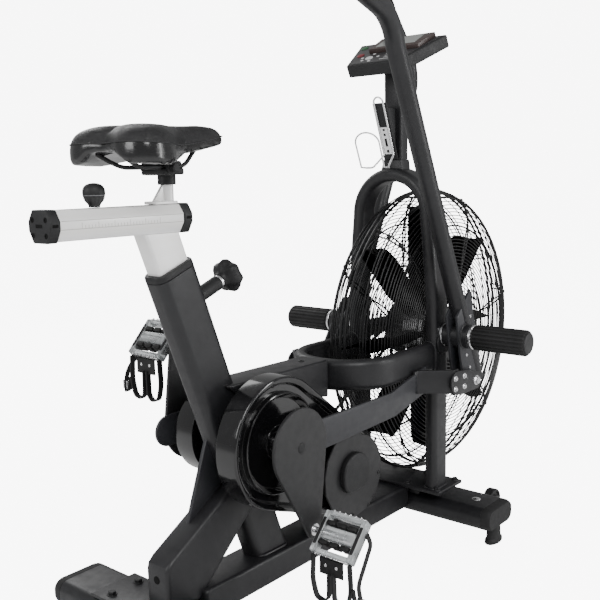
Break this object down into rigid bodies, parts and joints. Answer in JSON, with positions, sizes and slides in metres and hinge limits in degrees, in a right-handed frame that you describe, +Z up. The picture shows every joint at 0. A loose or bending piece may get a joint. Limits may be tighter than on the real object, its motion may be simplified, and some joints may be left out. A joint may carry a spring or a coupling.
{
  "type": "air bike",
  "caption": "Upright fan exercise bike with swinging handlebar arms, foot pegs, adjustable saddle, belt-driven caged fan wheel and console.",
  "frame": {"origin": "on the floor, at the centre of the bounding box seen from above", "axes": "+X towards the front of the bike (fan end), +Y to the rider's left, +Z up"},
  "size_m": [1.391, 0.646, 1.3507],
  "materials": {
    "black_paint": "satin powder coat",
    "steel": "bright zinc or chrome plate",
    "aluminium": "satin anodised",
    "matte_black": "fine texture",
    "gloss_black": "polished",
    "fan_grey": "semi-matt",
    "rubber": "matt",
    "saddle_cover": "smooth synthetic cover",
    "grip_foam": "soft foam",
    "pedal_body": "smoky clear",
    "console_plastic": "fine texture",
    "red_button": "satin",
    "green_button": "satin",
    "grey_button": "satin"
  },
  "bodies": {
    "frame": {"main_frame": "black_paint", "front_frame": "black_paint", "mast": "black_paint", "front_stabiliser": "black_paint", "rear_stabiliser": "black_paint", "front_foot_right": "rubber", "front_foot_left": "rubber", "rear_foot_right": "rubber", "rear_foot_left": "rubber", "seat_sleeve": "matte_black", "right_case": "gloss_black", "left_case": "gloss_black", "right_front_cover": "matte_black", "crank_bearing_right": "steel", "crank_bearing_left": "steel", "drive_belt": "rubber", "fan_belt": "rubber", "fan_axle": "steel", "fan_guard_right": "black_paint", "fan_guard_left": "black_paint", "pivot_axle_right": "steel", "pivot_axle_left": "steel", "foot_peg_right": "rubber", "foot_peg_left": "rubber", "console_housing": "console_plastic", "bottle_cage": "aluminium"},
    "seat_post": {"seat_post": "steel", "slider_rail": "aluminium", "slider_cap_rear": "matte_black", "slider_cap_front": "matte_black"},
    "saddle_slide": {"slider_carriage": "steel", "saddle_clamp": "steel", "saddle_rails": "steel", "saddle_base": "matte_black", "saddle_cushion": "saddle_cover"},
    "slider_knob": {"slider_knob": "matte_black"},
    "height_knob": {"height_knob": "matte_black"},
    "crank_set": {"crank_axle": "steel", "crank_pulley": "aluminium", "crank_right": "matte_black", "crank_left": "matte_black", "pedal_spindle_right": "steel", "pedal_spindle_left": "steel"},
    "intermediate_shaft": {"intermediate_shaft": "aluminium"},
    "fan_wheel": {"fan_wheel": "fan_grey"},
    "pedal_right": {"pedal_right": "pedal_body", "toe_basket_right": "rubber"},
    "pedal_left": {"pedal_left": "pedal_body", "toe_basket_left": "rubber"},
    "arm_right": {"handle_arm_right": "black_paint", "grip_right": "grip_foam"},
    "arm_left": {"handle_arm_left": "black_paint", "grip_left": "grip_foam"},
    "link_right": {"link_rod_right": "black_paint"},
    "link_left": {"link_rod_left": "black_paint"},
    "wheel_right": {"transport_wheel_right": "matte_black"},
    "wheel_left": {"transport_wheel_left": "matte_black"},
    "start_button": {"start_button": "green_button"},
    "stop_button": {"stop_button": "red_button"},
    "mode_button": {"mode_button": "grey_button"}
  },
  "joints": [
    {"name": "crank_spin", "type": "hinge", "parent": "frame", "child": "crank_set", "pos_m": [-0.2875, 0, 0.353], "axis": [0, 1, 0], "continuous": true},
    {"name": "shaft_spin", "type": "hinge", "parent": "frame", "child": "intermediate_shaft", "pos_m": [-0.0975, 0, 0.245], "axis": [0, 1, 0], "continuous": true},
    {"name": "fan_spin", "type": "hinge", "parent": "frame", "child": "fan_wheel", "pos_m": [0.3585, 0, 0.454], "axis": [0, 1, 0], "continuous": true},
    {"name": "pedal_right_spin", "type": "hinge", "parent": "crank_set", "child": "pedal_right", "pos_m": [-0.2544, -0.2, 0.1903], "axis": [0, 1, 0], "continuous": true},
    {"name": "pedal_left_spin", "type": "hinge", "parent": "crank_set", "child": "pedal_left", "pos_m": [-0.3206, 0.2, 0.5157], "axis": [0, 1, 0], "continuous": true},
    {"name": "arm_right_swing", "type": "hinge", "parent": "frame", "child": "arm_right", "pos_m": [0.2425, 0, 0.473], "axis": [0, 1, 0], "range_deg": [0, 50]},
    {"name": "arm_left_swing", "type": "hinge", "parent": "frame", "child": "arm_left", "pos_m": [0.2425, 0, 0.473], "axis": [0, 1, 0], "range_deg": [-50, 0]},
    {"name": "link_right_pin", "type": "hinge", "parent": "arm_right", "child": "link_right", "pos_m": [0.2655, -0.158, 0.372], "axis": [0, 1, 0], "range_deg": [-52.1, 0]},
    {"name": "link_left_pin", "type": "hinge", "parent": "arm_left", "child": "link_left", "pos_m": [0.1799, 0.158, 0.3905], "axis": [0, 1, 0], "range_deg": [0, 52.1]},
    {"name": "seat_height", "type": "slide", "parent": "frame", "child": "seat_post", "axis": [-0.3551, 0, 0.9348], "range_m": [0, 0.18]},
    {"name": "seat_fore_aft", "type": "slide", "parent": "seat_post", "child": "saddle_slide", "axis": [1, 0, 0], "range_m": [-0.045, 0]},
    {"name": "height_knob_pull", "type": "slide", "parent": "frame", "child": "height_knob", "axis": [0.9348, 0, 0.3551], "range_m": [0, 0.01], "stiffness_N_per_m": 800},
    {"name": "slider_knob_turn", "type": "hinge", "parent": "saddle_slide", "child": "slider_knob", "pos_m": [-0.597, 0, 0.765], "axis": [0, 0, 1], "range_deg": [0, 180]},
    {"name": "wheel_right_spin", "type": "hinge", "parent": "frame", "child": "wheel_right", "pos_m": [0.371, -0.19, 0.058], "axis": [0, 1, 0], "continuous": true},
    {"name": "wheel_left_spin", "type": "hinge", "parent": "frame", "child": "wheel_left", "pos_m": [0.371, 0.19, 0.058], "axis": [0, 1, 0], "continuous": true},
    {"name": "start_button_press", "type": "slide", "parent": "frame", "child": "start_button", "axis": [0.4462, 0, -0.8949], "range_m": [0, 0.0015], "stiffness_N_per_m": 400},
    {"name": "stop_button_press", "type": "slide", "parent": "frame", "child": "stop_button", "axis": [0.4462, 0, -0.8949], "range_m": [0, 0.0015], "stiffness_N_per_m": 400},
    {"name": "mode_button_press", "type": "slide", "parent": "frame", "child": "mode_button", "axis": [0.4462, 0, -0.8949], "range_m": [0, 0.0015], "stiffness_N_per_m": 400}
  ],
  "couplings": [
    {"joint": "shaft_spin", "follows": "crank_spin", "ratio": 3.5},
    {"joint": "fan_spin", "follows": "crank_spin", "ratio": 10.606},
    {"joint": "arm_left_swing", "follows": "arm_right_swing", "ratio": -1},
    {"joint": "link_right_pin", "follows": "arm_right_swing", "ratio": -1.0415},
    {"joint": "link_left_pin", "follows": "arm_right_swing", "ratio": 1.0415}
  ]
}
